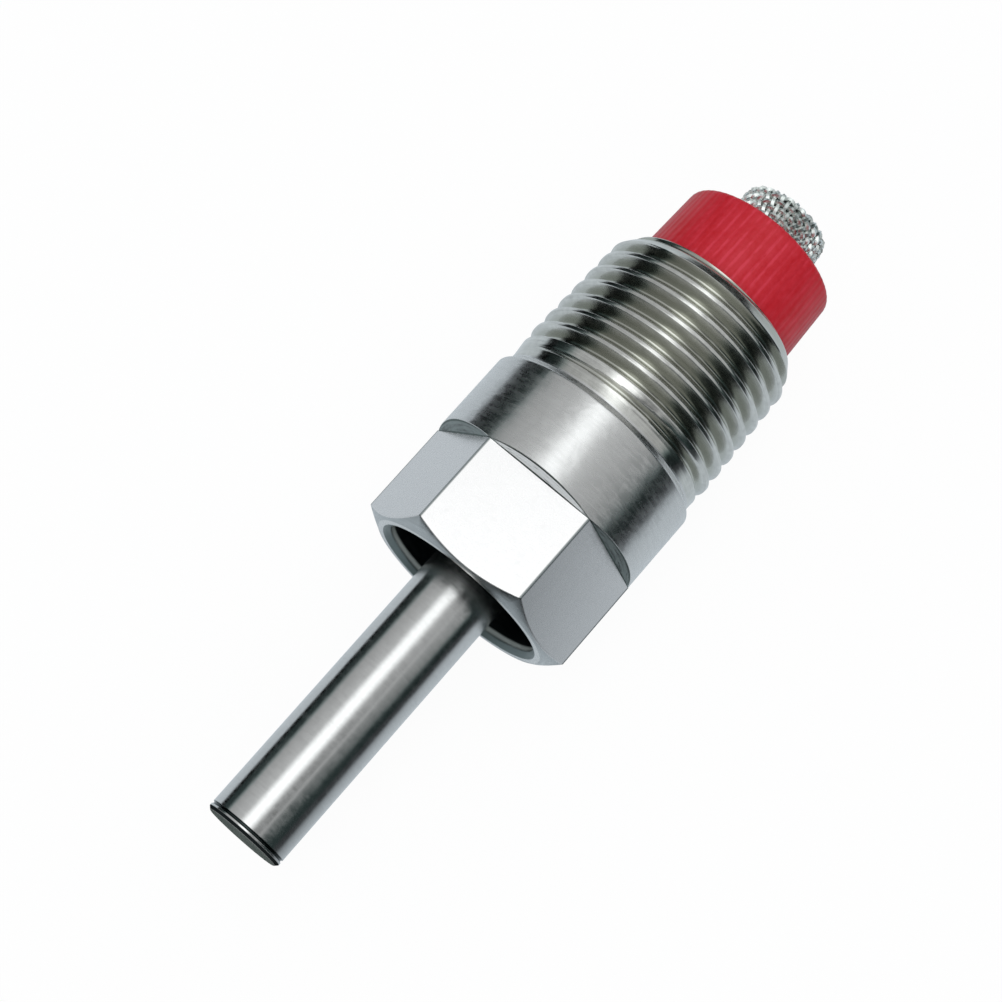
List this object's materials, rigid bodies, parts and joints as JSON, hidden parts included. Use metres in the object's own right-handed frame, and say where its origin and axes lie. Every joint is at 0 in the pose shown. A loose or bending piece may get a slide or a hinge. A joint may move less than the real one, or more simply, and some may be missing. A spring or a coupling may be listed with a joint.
{
  "type": "pig nipple drinker",
  "caption": "Bite-operated livestock drinker nipple: steel body with spanner hexagon and tapered pipe thread, sprung trigger pin, red plastic filter plug and wire mesh strainer.",
  "frame": {"origin": "on the axis of the drinker, at the shoulder where the round collar meets the threaded shank", "axes": "+Y along the axis into the water pipe, towards the strainer; the trigger pin points to -Y; +Z is normal to a spanner flat"},
  "size_m": [0.022, 0.0748, 0.0218],
  "materials": {
    "turned_steel": "turned and milled, satin",
    "polished_steel": "drawn bar, fine brushed",
    "black_rubber": "matte",
    "spring_steel": "drawn wire",
    "red_plastic": "moulded, finely ribbed, semi-gloss",
    "wire_mesh": "woven wire"
  },
  "bodies": {
    "housing": {"valve_body": "turned_steel", "filter_plug": "red_plastic", "strainer": "wire_mesh"},
    "spring": {"return_spring": "spring_steel"},
    "seal": {"seat_seal": "black_rubber"},
    "pin": {"trigger_pin": "polished_steel"}
  },
  "joints": [
    {"name": "pin_push", "type": "slide", "parent": "housing", "child": "spring", "axis": [0, 1, 0], "range_m": [0, 0.002], "stiffness_N_per_m": 1500, "springref_m": -0.002, "deforming": ["return_spring"]},
    {"name": "pin_tilt", "type": "hinge", "parent": "spring", "child": "seal", "pos_m": [0, -0.00265, 0], "axis": [1, 0, 0], "range_deg": [-5.5, 5.5], "stiffness_Nm_per_rad": 1.2},
    {"name": "pin_swing", "type": "hinge", "parent": "seal", "child": "pin", "pos_m": [0, -0.00265, 0], "axis": [0, 0, 1], "range_deg": [-5.5, 5.5], "stiffness_Nm_per_rad": 1.2, "deforming": ["seat_seal"]}
  ]
}
